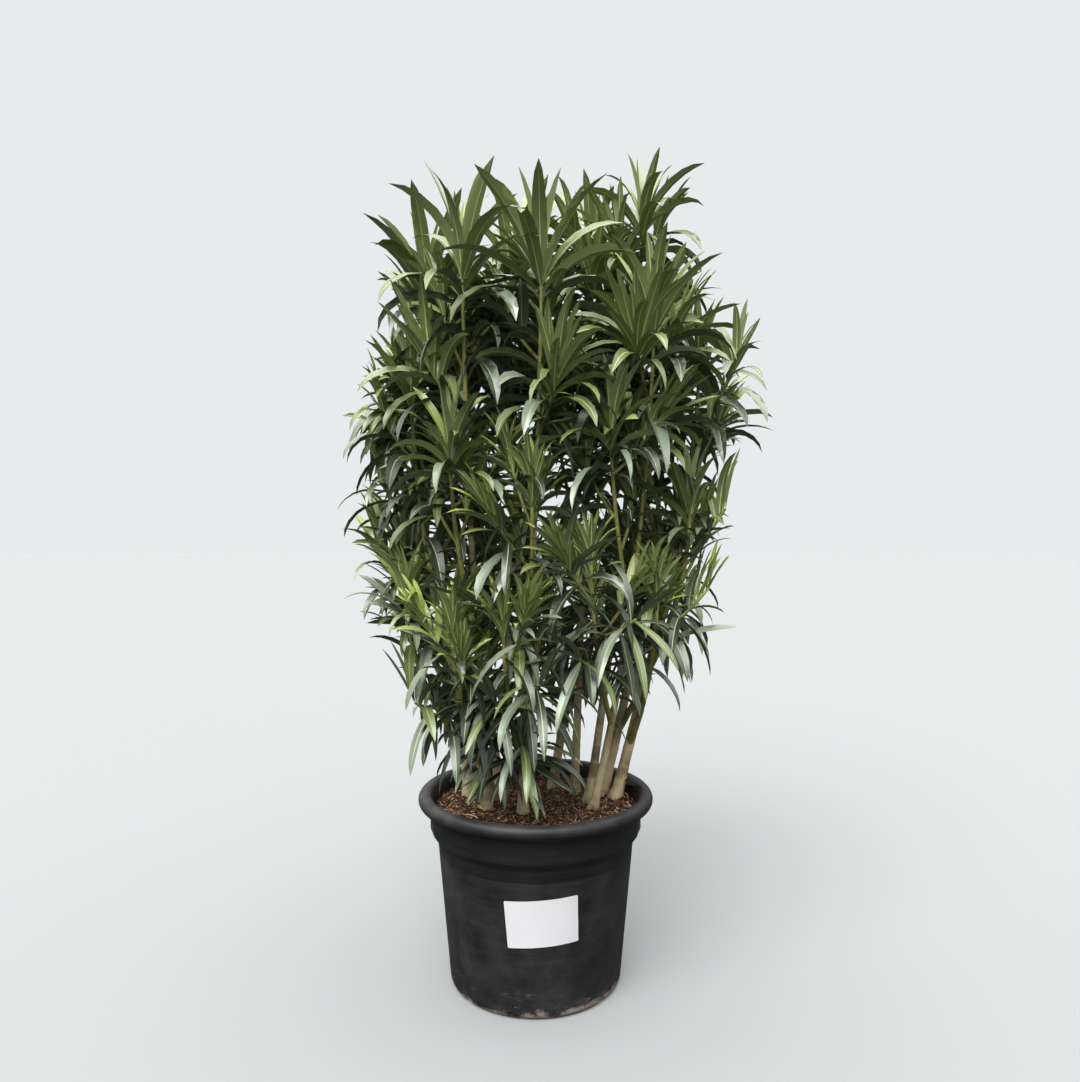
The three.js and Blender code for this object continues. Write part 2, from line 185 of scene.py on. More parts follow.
# A new object from arrays: corners, the corner numbers of all faces in a row, and each face's size and slot
def meshFromArrays(name, corners, loops, sizes, slots):
    mesh = bpy.data.meshes.new(name)
    mesh.vertices.add(len(corners))
    mesh.vertices.foreach_set("co", np.asarray(corners, np.float32).ravel())
    mesh.loops.add(len(loops))
    mesh.loops.foreach_set("vertex_index", np.asarray(loops, np.int32))
    mesh.polygons.add(len(sizes))
    starts = np.concatenate([[0], np.cumsum(sizes)[:-1]])
    mesh.polygons.foreach_set("loop_start", starts.astype(np.int32))
    mesh.polygons.foreach_set("material_index", np.asarray(slots, np.int32))
    mesh.update(calc_edges=True)
    mesh.validate()
    return addObject(name, mesh)


# A closed turned shape: a filled circle at the foot, drawn out ring by ring, and closed at the last ring
def turnRings(name, rings, sides):
    deselectAll()
    rings = [(radius * mm, height * mm) for radius, height in rings]
    radius, height = rings[0]
    bpy.ops.mesh.primitive_circle_add(
        vertices=sides, radius=radius, fill_type="NGON", location=(0, 0, height))
    piece = nameNew(name)
    applyPlace(piece)
    bpy.ops.object.mode_set(mode="EDIT")
    bpy.ops.mesh.select_all(action="SELECT")
    bpy.ops.mesh.region_to_loop()
    for nextRadius, nextHeight in rings[1:]:
        bpy.ops.mesh.extrude_edges_move(TRANSFORM_OT_translate={"value": (0, 0, nextHeight - height)})
        share = nextRadius / radius
        bpy.ops.transform.resize(value=(share, share, 1), center_override=(0, 0, nextHeight))
        radius, height = nextRadius, nextHeight
    bpy.ops.mesh.edge_face_add()
    bpy.ops.mesh.select_all(action="SELECT")
    bpy.ops.mesh.normals_make_consistent(inside=False)
    bpy.ops.object.mode_set(mode="OBJECT")
    return piece


# Shades a piece smooth up to a crease's angle, and gives it its materials, its body and replaced nodes. slot
# is not used.
def finishPiece(piece, crease, materials, slot, *nodes):
    smoothByAngle(piece, crease)
    for material in materials:
        piece.data.materials.append(material)
    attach(piece, "root")
    if nodes:
        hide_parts(*nodes)


# Camera, floor and light

view = {
    "place": (0.0093, -1.733, 0.927),
    "lens": 26.75,  # mm, on a 36 mm sensor
    "background": "#e6ecec",
    # light by height, from horizon to zenith, and the brightest that it may be
    "dome": ((0.0, 0.22), (0.45, 0.54), (0.75, 2.45), (1.0, 3.7)), "domeMost": 8.0,
    "floorRadius": 60.0,
    "floorSeen": "#8e9191",  # as the camera sees it
    "floorLit": "#383a3a",  # as it lights the pot and plant
    # wide soft lights from far off: direction, spread in degrees and strength
    "lights": {"key": ((-0.35, -0.8, 1.0), 44, 3.6), "fill": ((0.2, -1.0, 0.14), 70, 0.9)},
}


def makeCamera():
    lens = bpy.data.cameras.new("camera")
    lens.lens = view["lens"]
    lens.sensor_width = 36
    lens.clip_end = 200
    camera = addObject("camera", lens)
    camera.location = view["place"]
    camera.rotation_euler = (math.radians(90), 0, 0)
    bpy.context.scene.camera = camera


def makeSoftLight(name, direction, spread, strength):
    lamp = bpy.data.lights.new(name, "SUN")
    lamp.angle = math.radians(spread)
    lamp.energy = strength
    addObject(name, lamp).rotation_euler = Vector(direction).to_track_quat("Z", "Y").to_euler()


def makeStudio():
    world = bpy.data.worlds.new("studio")
    world.use_nodes = True
    tree = world.node_tree
    backdrop = tree.nodes["Background"]
    backdrop.inputs["Color"].default_value = linearColour(view["background"])
    # the camera sees a plain backdrop, and the light from it grows towards the zenith
    direction = addNode(tree, "TexCoord").outputs["Generated"]
    height = addNode(tree, "SeparateXYZ", {0: direction}).outputs[2]
    dome = addRamp(tree, height, [(place, light / view["domeMost"]) for place, light in view["dome"]])
    sky = addNode(tree, "Background", {"Strength": view["domeMost"], "Color": dome}).outputs[0]
    eye = addNode(tree, "LightPath").outputs["Is Camera Ray"]
    both = addNode(tree, "MixShader", {0: eye, 1: sky, 2: backdrop.outputs[0]}).outputs[0]
    tree.links.new(both, tree.nodes["World Output"].inputs["Surface"])
    bpy.context.scene.world = world
    bpy.context.scene.view_settings.view_transform = "Standard"
    for name, settings in view["lights"].items():
        makeSoftLight(name, *settings)


# Matt paper, which lights the plant less than the camera sees it
def makeFloor():
    deselectAll()
    bpy.ops.mesh.primitive_circle_add(
        vertices=96, radius=view["floorRadius"], fill_type="NGON", location=(0, 0, -0.0004))
    floor = nameNew("floor")
    applyPlace(floor)
    paper, tree, shader, _ = newMaterial("pale floor", {"Roughness": 0.9, "Specular IOR Level": 0.1})
    eye = addNode(tree, "LightPath").outputs["Is Camera Ray"]
    tree.links.new(addMix(tree, eye, view["floorLit"], view["floorSeen"]), shader.inputs["Base Color"])
    floor.data.materials.append(paper)


# Nursery pot: injection-moulded polypropylene, black and satin, dusty, with dirt at its foot

pot = {
    "sides": 128,
    "rimRadius": 250, "rollRadius": 14.5, "rimHeight": 382,
    "bandRadius": 221, "bandBottom": 314,
    "wallTopRadius": 209, "wallTop": 302,
    "wallFootRadius": 182, "wallFoot": 14, "standRadius": 170,
    "wall": 4, "floor": 6,
    "grooveHeight": 275, "grooveDepth": 0.7, "grooveWidth": 5,
    "gripHeights": (324, 333, 342, 351), "gripDepth": 3.6, "gripAngle": 24,
    "drainAngle": 48, "drainWidth": 22, "drainHeight": 13, "drainDepth": 26,
}


def wallRadius(height):
    share = (height - pot["wallFoot"]) / (pot["wallTop"] - pot["wallFoot"])
    return pot["wallFootRadius"] + share * (pot["wallTopRadius"] - pot["wallFootRadius"])


def potRings():
    foot, stand = pot["wallFootRadius"], pot["standRadius"]
    rings = [(stand, 0)]
    for step in range(1, 5):  # the rounded foot
        angle = math.radians(90 * step / 5)
        rings.append((stand + (foot - stand) * math.sin(angle), pot["wallFoot"] * (1 - math.cos(angle))))
    rings += [(wallRadius(height), height) for height in range(pot["wallFoot"], 262, 31)]  # up to the groove
    half = pot["grooveWidth"] / 2
    for offset, depth in ((-half, 0), (-half / 3, 1), (half / 3, 1), (half, 0)):
        height = pot["grooveHeight"] + offset
        rings.append((wallRadius(height) - depth * pot["grooveDepth"], height))
    band, low = pot["bandRadius"], pot["bandBottom"]
    rings += [(wallRadius(296), 296), (pot["wallTopRadius"] + 0.6, pot["wallTop"] + 0.5),
              (band - 2.5, low - 2.5), (band - 0.4, low + 0.5), (band, low + 4)]  # the shoulder
    for height in pot["gripHeights"]:
        rings += [(band, height - 2.6), (band, height), (band, height + 2.6)]
    rings.append((band, pot["rimHeight"] - pot["rollRadius"]))
    middle = pot["rimRadius"] - pot["rollRadius"]
    for step in range(19):  # the rolled rim
        angle = math.radians(-110 + 290 * step / 18)
        rings.append((middle + pot["rollRadius"] * math.cos(angle),
                      pot["rimHeight"] + pot["rollRadius"] * math.sin(angle)))
    wall = pot["wall"]
    return rings + [(band - wall, pot["rimHeight"] - pot["rollRadius"]), (band - wall, low),
                    (pot["wallTopRadius"] - wall, pot["wallTop"]), (foot - wall, pot["floor"] + 8),
                    (foot - wall - 8, pot["floor"])]


# Moulded grips on the band's left and right sides: a few level ridges
def raiseGrips(piece):
    heights = [height * mm for height in pot["gripHeights"]]
    for vertex in piece.data.vertices:
        place = vertex.co
        out = math.hypot(place.x, place.y)
        side = math.degrees(math.atan2(abs(place.y), abs(place.x)))
        onBand = abs(out - pot["bandRadius"] * mm) < 0.3 * mm
        onRidge = min(abs(place.z - height) for height in heights) < 0.2 * mm
        if onBand and onRidge and side < pot["gripAngle"]:
            fade = math.cos(math.radians(90 * (side / pot["gripAngle"]) ** 3))
            share = 1 + pot["gripDepth"] * mm * fade / out
            place.x *= share
            place.y *= share


def cutDrains(piece):
    for middle in (0, 180):
        for side in (-1, 1):
            angle = math.radians(middle + side * pot["drainAngle"])
            out = (pot["wallFootRadius"] + 2) * mm
            deselectAll()
            bpy.ops.mesh.primitive_cube_add(
                size=1, location=(out * math.sin(angle), -out * math.cos(angle), 0), rotation=(0, 0, angle))
            cutter = nameNew("drainCutter")
            cutter.scale = (pot["drainWidth"] * mm, pot["drainDepth"] * mm, 2 * pot["drainHeight"] * mm)
            applyPlace(cutter)
            applyModifier(cutter, "BEVEL", width=2.5 * mm, segments=3)
            applyModifier(piece, "BOOLEAN", operation="DIFFERENCE", object=cutter, solver="EXACT")
            bpy.data.objects.remove(cutter)


# Black polypropylene: satin from the mould, finely brushed round it, with mottled pale dust on the wall and
# heavier pale mottling towards its left, painted shade on the band under the rim, a painted highlight along
# the rim's top, and dried dirt round the foot
def makePotPlastic():
    material, tree, shader, place = newMaterial(
        "black polypropylene", {"IOR": 1.49, "Specular IOR Level": 0.3})
    x, _, height = addNode(tree, "SeparateXYZ", {0: place}).outputs
    brush = addNoise(tree, place, (9, 9, 420), 4, 0.6)  # 2.4 mm high
    clouds = addNoise(tree, place, 16, 6, 0.65)
    sides = addRange(tree, x, -0.12, -0.22, 0.34, 0.85)
    # painted light by height: the pale mix is full on the lower wall, low on the band as painted shade under
    # the rim, and above full on the rim's top as a painted highlight
    under = addRamp(tree, height, ((0.2, 1), (0.33, 0.1), (0.374, 0.2), (0.393, 1.3)))
    patch = addRange(tree, clouds, 0.36, 0.68, 0.15, 1.0)
    dustAndPaintedLight = addMath(tree, "MULTIPLY", addMath(tree, "MULTIPLY", sides, patch), under)
    tone = addMix(tree, addRange(tree, brush, 0.38, 0.62), "#0c0c0d", "#1b1b1c")
    # the pale tone: dust, with the painted shade and painted highlight that its share by height carries
    tone = addMix(tree, dustAndPaintedLight, tone, "#4b4a49")
    # dirt: up to between 3 and 29 mm above the foot, broken up by grit about 7 mm across
    grit = addNoise(tree, place, 150, 6, 0.75)
    reach = addRange(tree, addNoise(tree, place, 17, 2), 0.4, 0.72, 0.007, 0.024)
    edge = addMath(tree, "ADD", reach, addMath(tree, "MULTIPLY_ADD", grit, 0.022, -0.0105))
    dirt = addRange(tree, addMath(tree, "SUBTRACT", edge, height), 0.0, 0.007, 0, 0.85)
    tone = addMix(tree, dirt, tone, "#978a7b")
    # scuffs: pale smears and short strokes, thickest low on the wall
    turned = addNode(tree, "Mapping", {"Scale": (26, 26, 60), "Rotation": (0.5, 0.3, 0.4), "Vector": place})
    smears = addNoise(tree, turned.outputs[0], 1.0, 8, 0.8)
    least = addRange(tree, height, 0.02, 0.11, 0.54, 0.7)
    scuff = addRange(tree, addMath(tree, "SUBTRACT", smears, least), 0.0, 0.09, 0, 0.55)
    tree.links.new(addMix(tree, scuff, tone, "#6a6866"), shader.inputs["Base Color"])
    tree.links.new(addRange(tree, clouds, 0, 1, 0.38, 0.6), shader.inputs["Roughness"])
    addBump(tree, shader, addMath(tree, "MULTIPLY_ADD", brush, 0.6, grit), 0.2, 0.0007)
    return material


def makePot():
    piece = turnRings("nurseryPot", potRings(), pot["sides"])
    raiseGrips(piece)
    cutDrains(piece)
    finishPiece(piece, 35, [makePotPlastic()], "pot", "pot")
    print("pot made")


# Blank label: coated paper, stuck round the wall and rolled a little to one side

label = {"width": 142, "height": 93, "thickness": 0.4, "clearance": 0.35, "corner": 2.5,
         "middle": 196, "turn": 4, "roll": 3.5}


# Coated label paper: nearly white, faintly creased where it follows the wall, with painted shade that greys
# the creases' hollows
def makeLabelPaper():
    material, tree, shader, place = newMaterial("coated paper", {"Roughness": 0.5, "IOR": 1.5})
    creasesWithPaintedShade = addNoise(tree, place, (60, 60, 12), 4)
    # painted shade: the paper is greyer where the creases' bump sinks
    tree.links.new(addMix(tree, creasesWithPaintedShade, "#cfced1", "#d7d6d8"), shader.inputs["Base Color"])
    addBump(tree, shader, creasesWithPaintedShade, 0.25, 0.0008)
    return material


def makeLabel():
    deselectAll()
    bpy.ops.mesh.primitive_grid_add(x_subdivisions=28, y_subdivisions=12, size=1)
    piece = nameNew("labelSticker")
    piece.scale = (label["width"] * mm, label["height"] * mm, 1)
    applyPlace(piece)
    for vertex in piece.data.vertices:
        vertex.select = (abs(vertex.co.x) > (label["width"] / 2 - 0.1) * mm
                         and abs(vertex.co.y) > (label["height"] / 2 - 0.1) * mm)
    bpy.ops.object.mode_set(mode="EDIT")
    bpy.ops.mesh.select_mode(type="VERT")
    bpy.ops.mesh.bevel(affect="VERTICES", offset=label["corner"] * mm, segments=3)
    bpy.ops.object.mode_set(mode="OBJECT")
    roll = math.radians(label["roll"])
    for vertex in piece.data.vertices:  # rolled flat, then bent round the tapered wall
        flatX, flatZ = vertex.co.x / mm, vertex.co.y / mm
        x = flatX * math.cos(roll) - flatZ * math.sin(roll)
        z = flatX * math.sin(roll) + flatZ * math.cos(roll) + label["middle"]
        angle = x / wallRadius(label["middle"]) + math.radians(label["turn"])
        lift = 0.5 * (0.5 + 0.5 * noise.noise(Vector((x / 30, z / 60, 3))))
        out = wallRadius(z) + label["clearance"] + lift
        vertex.co = Vector((out * math.sin(angle), -out * math.cos(angle), z)) * mm
    bpy.ops.object.mode_set(mode="EDIT")
    bpy.ops.mesh.select_all(action="SELECT")
    bpy.ops.mesh.normals_make_consistent(inside=False)
    bpy.ops.object.mode_set(mode="OBJECT")
    middle = piece.data.polygons[len(piece.data.polygons) // 2]
    if middle.normal.y > 0:
        piece.data.flip_normals()
    applyModifier(piece, "SOLIDIFY", thickness=label["thickness"] * mm, offset=1)
    finishPiece(piece, 40, [makeLabelPaper()], "label", "label")
    print("label made")


# Soil: coarse coir and bark chips, with a few straws and one fallen leaf

soil = {
    "top": 350, "edge": 216.5, "relief": 3.2, "heap": 12,
    "chips": 8000, "chipLength": (4, 16), "chipWidth": (0.9, 2.7),
    # the chips' tints, the darker tone that each is mottled with, and their shares
    "chipTints": (("#38251a", "#150d08"), ("#7a573f", "#412c1e"), ("#a37c5d", "#684832"),
                  ("#c8a07d", "#8c674b"), ("#e4cfb2", "#ae8b65")),
    "chipShares": (0.18, 0.3, 0.27, 0.17, 0.08),
    # straws: both ends on the soil, and width
    "straws": (((191, 87), (199, -2), 4.5), ((-124, 13), (-106, -23), 3.4), ((74, 4), (93, -68), 3.0),
               ((60, -150), (84, -120), 2.6), ((-150, -60), (-118, -76), 2.6)),
    "fallen": {"root": (168, 116, 374), "azimuth": -1.1, "pitch": 0.28, "droop": 0.3, "length": 138,
               "sway": 0.25, "roll": -0.9, "twist": 0.2, "fold": 0.25, "late": 1, "width": 0.095, "age": 9,
               "tint": 1, "pick": 0.5},
}


def soilHeight(x, y):
    rough = noise.noise(Vector((x / 22, y / 22, 1.7))) + 0.6 * noise.noise(Vector((x / 7, y / 7, 5.1)))
    out = math.hypot(x, y)
    fade = min(1, max(0, (soil["edge"] - out) / 12))
    return soil["top"] + soil["relief"] * rough * fade + soil["heap"] * min(1, (out / soil["edge"]) ** 5)


# Coir compost: dark reddish brown in the gaps between chips
def makeCoir():
    material, tree, shader, place = newMaterial(
        "coir compost", {"Roughness": 0.95, "Specular IOR Level": 0.2})
    grains = addNode(tree, "TexVoronoi", {"Scale": 180, "Vector": place}).outputs[0]  # 5 mm
    mottle = addNoise(tree, place, 300, 5, 0.7)
    tone = addRamp(tree, mottle, ((0.3, "#0c0805"), (0.5, "#2d1e15"), (0.7, "#5f4737")))
    tree.links.new(tone, shader.inputs["Base Color"])
    addBump(tree, shader, grains, 0.8, 0.002)
    return material


# A dry plant fibre: dull, streaked along its length by fine noise
def makeFibre(name, tint, dark):
    material, tree, shader, place = newMaterial(name, {"Roughness": 0.85, "Specular IOR Level": 0.25})
    tree.links.new(addMix(tree, addNoise(tree, place, 260, 3), dark, tint), shader.inputs["Base Color"])
    return material


def soilRings():
    side = pot["wall"] + 0.3
    foot = pot["wallFootRadius"] - side
    rings = [(foot - 9, 6.3), (foot, 16), (pot["wallTopRadius"] - side, pot["wallTop"]),
             (pot["bandRadius"] - side, pot["bandBottom"]), (pot["bandRadius"] - side, soil["top"] - 3)]
    count = 34
    return rings + [(soil["edge"] * (1 - step / count), soil["top"]) for step in range(count)]


def makeSoil():
    piece = turnRings("soilSurface", soilRings(), 110)
    for vertex in piece.data.vertices:
        if vertex.co.z > (soil["top"] - 1) * mm:
            vertex.co.z = soilHeight(vertex.co.x / mm, vertex.co.y / mm) * mm
    finishPiece(piece, 60, [makeCoir()], "soil", "soil")
    makeChips()
    makeStraws()
    print("soil made")


# The directions of many things at once: along each, to its side and up from it
def framesAt(azimuth, pitch, roll):
    along = np.stack([np.cos(azimuth) * np.cos(pitch), np.sin(azimuth) * np.cos(pitch), np.sin(pitch)], 1)
    level = np.stack([-np.sin(azimuth), np.cos(azimuth), np.zeros(len(azimuth))], 1)
    over = np.cross(along, level)
    upright, tilted = np.cos(roll)[:, None], np.sin(roll)[:, None]
    return along, level * upright + over * tilted, over * upright - level * tilted


# Each chip is a bent splinter of three sections between two pointed ends
def makeChips():
    draw = np.random.RandomState(7)
    count = soil["chips"]
    out = (soil["edge"] - 4) * np.sqrt(draw.uniform(0, 1, count))
    bearing = draw.uniform(0, 2 * math.pi, count)
    x, y = out * np.cos(bearing), out * np.sin(bearing)
    z = np.array([soilHeight(a, b) for a, b in zip(x, y)]) + draw.uniform(-0.5, 4.6, count)
    half = 0.5 * draw.uniform(*soil["chipLength"], count) * draw.uniform(0.5, 1, count)
    wide = 0.5 * draw.uniform(*soil["chipWidth"], count)
    thin = wide * draw.uniform(0.25, 0.6, count)
    yaw, pitch = draw.uniform(0, 2 * math.pi, count), draw.normal(0, 0.32, count)
    roll, bend = draw.normal(0, 0.6, count), draw.uniform(-0.25, 0.25, count)
    tint = draw.choice(len(soil["chipTints"]), count, p=soil["chipShares"])
    along, side, up = framesAt(yaw, pitch, roll)
    half, wide, thin, bend = (values[:, None] for values in (half, wide, thin, bend))
    middle = np.stack([x, y, z], 1)
    rows = [middle - along * half]
    for place, width in ((-0.55, 0.75), (0.1, 1.0), (0.65, 0.6)):
        centre = middle + along * (half * place) + up * (half * bend * (1 - place ** 2))
        for across, over in ((1, 0), (0, 1), (-1, 0), (0, -1)):
            rows.append(centre + side * (across * wide * width) + up * (over * thin * width))
    rows.append(middle + along * half)
    fibres = [makeFibre(f"bark chip {n + 1}", tone, dark) for n, (tone, dark) in enumerate(soil["chipTints"])]
    sections, around = 3, 4
    slots = np.repeat(tint, around * (sections + 1))
    finishMany("soilChips", np.stack(rows, 1), sections, around, slots, 50, fibres, "soil")


# One piece of many small closed bodies of one kind, each of so many rings of so many corners
def finishMany(name, bodies, rings, around, slots, *finish):
    loops, sizes = ringFaces(rings, around)
    count, each = bodies.shape[:2]
    allLoops = (np.array(loops)[None] + each * np.arange(count)[:, None]).ravel()
    piece = meshFromArrays(name, bodies.reshape(-1, 3) * mm, allLoops, np.tile(sizes, count), slots)
    finishPiece(piece, *finish)


# The faces of one closed body: a first point, rings of the same number of corners, and a last point
def ringFaces(rings, around):
    loops, sizes = [], []
    for here in range(around):
        there = (here + 1) % around
        loops += [0, 1 + there, 1 + here]
        for ring in range(rings - 1):
            low, high = 1 + ring * around, 1 + (ring + 1) * around
            loops += [low + here, low + there, high + there, high + here]
        last = 1 + (rings - 1) * around
        loops += [last + here, last + there, 1 + rings * around]
        sizes += [3] + [4] * (rings - 1) + [3]
    return loops, sizes


# Tubes: straws, limbs and twigs

# Corners and faces of a tube round a line of points. Its two ends are closed by a point each.
def tubeArrays(points, directions, radii, around, flat=1.0):
    corners = [points[0]]
    for point, along, radius in zip(points, directions, radii):
        first, second = crosswise(along)
        for number in range(around):
            angle = 2 * math.pi * number / around
            reach = radius(angle) if callable(radius) else radius
            across, over = reach * math.cos(angle), flat * reach * math.sin(angle)
            corners.append(point + first * across + second * over)
    corners.append(points[-1])
    loops, sizes = ringFaces(len(points), around)
    return [tuple(corner) for corner in corners], loops, sizes


def joinTubes(name, tubes):
    corners, loops, sizes = [], [], []
    for tubeCorners, tubeLoops, tubeSizes in tubes:
        loops += [number + len(corners) for number in tubeLoops]
        corners += tubeCorners
        sizes += tubeSizes
    return meshFromArrays(name, np.array(corners) * mm, loops, sizes, np.zeros(len(sizes)))


def makeStraws():
    tubes = []
    last = 9
    shares = [i / last for i in range(last + 1)]
    for number, (start, end, width) in enumerate(soil["straws"]):
        first, final = (Vector((*place, soilHeight(*place) + 3.5)) for place in (start, end))
        bow = (final - first).cross(Vector((0, 0, 1))) * (0.1 if number % 2 else -0.08)
        arcs = [math.sin(math.pi * s) for s in shares]
        points = [first.lerp(final, s) + bow * arc + Vector((0, 0, 2 * arc)) for s, arc in zip(shares, arcs)]
        along = [(points[min(i + 1, last)] - points[max(i - 1, 0)]).normalized() for i in range(last + 1)]
        radii = [width / 2 * (0.35 + 0.65 * math.sin(math.pi * (0.08 + 0.84 * s))) for s in shares]
        tubes.append(tubeArrays(points, along, radii, 6, 0.3))
    piece = joinTubes("straws", tubes)
    finishPiece(piece, 50, [makeFibre("dry straw", "#d9c6a2", "#a98e68")], "soil")


# The shrub. Each stem has its foot on the soil and its tip at the top of its shoot, and its side shoots leave
# it lower. bow says how much of a stem's spread happens in its lowest third. leaf is the length of its leaves
# against the rest, lower how far its head sits below its tip in mm, and twigs their number. On a side shoot,
# young gives lime leaves at its tip, fresh gives fresh green ones, and basal is the number of its low twigs.

def stemRow(name, foot, tip, radius, bow, *sides, **more):
    return {"name": name, "foot": foot, "tip": tip, "radius": radius, "bow": bow, "sides": sides, **more}


def sideRow(name, tip, **more):
    return {"name": name, "tip": tip, **more}


shrub = {
    "flare": 0.42, "flareHeight": 26, "stemTaper": 0.5, "boughTaper": 0.85, "boughShare": 0.7,
    "stemEnd": 0.56, "boughEnd": 0.3, "sideRise": 350, "forkBelowEnd": 0.08,
    "rosette": (4, 12, 21, 31, 42, 54), "whorlStart": 76, "whorlStep": 52, "leavesPerWhorl": 3,
    "leafLength": 206, "sideLeafLength": 176, "youngLeafLength": 104,
    "twigLeaf": 0.86,  # a twig's leaves, against its limb's
    "leafHalfWidth": 0.064, "widerWhenOld": 0.028,  # shares of the leaf's length
    # what chance gives a leaf and a bud's leaf: from, to and its own last key
    "leafChances": {"sway": (-0.45, 0.45, 5), "roll": (-0.3, 0.3, 6), "twist": (-0.8, 0.8, 7),
                    "fold": (0.12, 0.52, 8)},
    "budChances": {"droop": (0.05, 0.3, 3), "sway": (-0.2, 0.2, 5), "twist": (-0.3, 0.3, 7)},
    "axisBare": 16, "twigBare": 20,
    "openAtTip": 13, "openMore": 60, "openWithin": 46,  # degrees from the shoot
    "bendAtTip": 0.42, "bendMore": 1.9, "bendWithin": 50,  # radians
    "hangBelow": 1080, "hangWithin": 450, "hangOpen": 30, "hangBend": 0.3,  # low leaves hang more
    "lost": 0.76, "lostWithin": 215,
    "crownEdge": (0.8, 0.42),  # a leaf ends within the crown's outline by these and its own chance
    "trialSizes": (1, 0.84, 0.68), "trialLifts": (0, 0.35, 0.7),  # to keep clear of what is near
    # twigs: number, slopes in degrees, and reaches as shares of the leafy axis, or in mm for the basal ones
    "topTwigs": 4, "sideTwigs": 4, "axisMost": 300,
    "twigSlope": (42, 58), "headTwigSlope": (54, 74), "basalSlope": (8, 42),
    "twigReach": (0.42, 0.62), "headTwigReach": (0.36, 0.6), "basalReach": (75, 130),
    "tuftOpen": 0.28, "tuftBend": 0.5,  # of a young tip's leaves, against others
    "basalLost": 0.42, "basalHang": 1.3, "basalWidth": 0.95, "basalAge": 5,  # of the low twigs' leaves
    # the crown's outline: height, and how far its leaves reach to the left and right there
    "crown": ((400, -226, 240), (520, -252, 300), (606, -284, 345), (692, -300, 385), (778, -376, 400),
              (864, -398, 356), (951, -428, 412), (1040, -410, 384), (1080, -410, 390), (1123, -408, 470),
              (1209, -395, 512), (1382, -318, 466), (1430, -330, 408), (1554, -394, 405), (1684, -340, 375),
              (1850, -300, 375)),
    "crownMiddle": 34, "crownDepth": 440,
    "stems": (
        stemRow("left_front", (-104, 8), (-146, -120, 1480), 11, 0.4,
                sideRow("low_left_front", (-160, -190, 768), young=True, basal=2),
                sideRow("middle_left_front", (-165, -172, 1100)), leaf=1.12, lower=8),
        stemRow("middle", (-28, -24), (12, -150, 1470), 10, 0.3,
                sideRow("low_middle", (-60, -215, 785), young=True, basal=5),
                sideRow("middle_front", (-5, -215, 1045), young=True, basal=2), leaf=1.2, lower=20),
        stemRow("right_front", (124, 2), (240, -112, 1375), 9, 0.55,
                sideRow("low_right_front", (106, -200, 905), young=True, basal=3),
                sideRow("middle_right_front", (148, -165, 1150)), leaf=1.1, lower=16),
        stemRow("right", (178, 62), (352, -5, 1300), 13, 0.36,
                sideRow("low_right", (242, -140, 840), young=True),
                sideRow("middle_right", (318, -76, 990)), leaf=0.88),
        stemRow("right_back", (150, 90), (318, 160, 1385), 12, 0.5,
                sideRow("low_right_back", (300, 84, 860))),
        stemRow("tall_right", (118, 54), (238, 72, 1655), 10, 0.5, leaf=0.92, lower=12, twigs=6),
        stemRow("tall_middle", (88, 112), (128, 150, 1590), 10, 0.4, sideRow("back_middle", (46, 285, 1330)),
                twigs=6),
        stemRow("far_left", (-150, 82), (-240, 50, 1485), 12, 0.35,
                sideRow("middle_left", (-300, 50, 1130), fresh=True), leaf=1.14, twigs=6),
        stemRow("left", (-92, 66), (-258, -66, 1225), 12, 0.55,
                sideRow("low_left", (-266, -60, 790), basal=1),
                sideRow("low_far_left", (-300, 96, 905), basal=1), leaf=0.84),
        stemRow("back", (-16, 96), (-62, 190, 1560), 10, 0.35,
                sideRow("low_back", (-10, 280, 900), basal=2), leaf=1.1),
        stemRow("back_left", (-84, 134), (-190, 230, 1400), 11, 0.4,
                sideRow("low_back_left", (-160, 258, 890), basal=1), leaf=1.1),
        stemRow("back_right", (38, 152), (184, 246, 1430), 11, 0.4,
                sideRow("low_back_right", (196, 226, 880), basal=3)),
    ),
}


# A number from 0 to 1 that depends only on its whole-number keys
def chance(*keys):
    state = 20011
    for key in keys:
        state = (state * 16807 + key * 7919 + 12345) % 2147483647
        state = (state + (state % 46337) ** 2) % 2147483647
    return ((state * 16807) % 2147483647) / 2147483647


def vary(low, high, *keys):
    return low + (high - low) * chance(*keys)


def drawn(ranges, key):
    return {name: vary(low, high, *key, last) for name, (low, high, last) in ranges.items()}


# A path is the four control points of a cubic curve
def pathPoint(path, share):
    rest = 1 - share
    return (path[0] * rest ** 3 + path[1] * (3 * rest ** 2 * share)
            + path[2] * (3 * rest * share ** 2) + path[3] * share ** 3)


def pathTangent(path, share):
    rest = 1 - share
    slope = ((path[1] - path[0]) * rest ** 2 + (path[2] - path[1]) * (2 * rest * share)
             + (path[3] - path[2]) * share ** 2)
    return slope.normalized()


def pathAt(path, share):
    return pathPoint(path, share), pathTangent(path, share)


def pathLength(path):
    points = [pathPoint(path, i / 200) for i in range(201)]
    return sum((after - before).length for before, after in zip(points, points[1:]))


def stemPath(stem):
    foot = Vector((*stem["foot"], soil["top"] + 0.3))
    tip = Vector(stem["tip"])
    rise = tip - foot
    low = foot + Vector((stem["bow"] * rise.x, stem["bow"] * rise.y, 0.3 * rise.z))
    high = tip - Vector((0.08 * rise.x, 0.08 * rise.y, 0.36 * rise.z))
    return (foot, low, high, tip)


# A side shoot leaves its stem far enough below its tip to rise steeply
def forkOf(stemCurve, end):
    steps = 40
    fork = pathPoint(stemCurve, 0.08)
    for step in range(4, math.ceil(steps * (shrub["stemEnd"] - shrub["forkBelowEnd"]))):
        point = pathPoint(stemCurve, step / steps)
        across = math.hypot(end.x - point.x, end.y - point.y)
        if end.z - point.z < max(shrub["sideRise"], 1.25 * across):
            break
        fork = point
    return fork


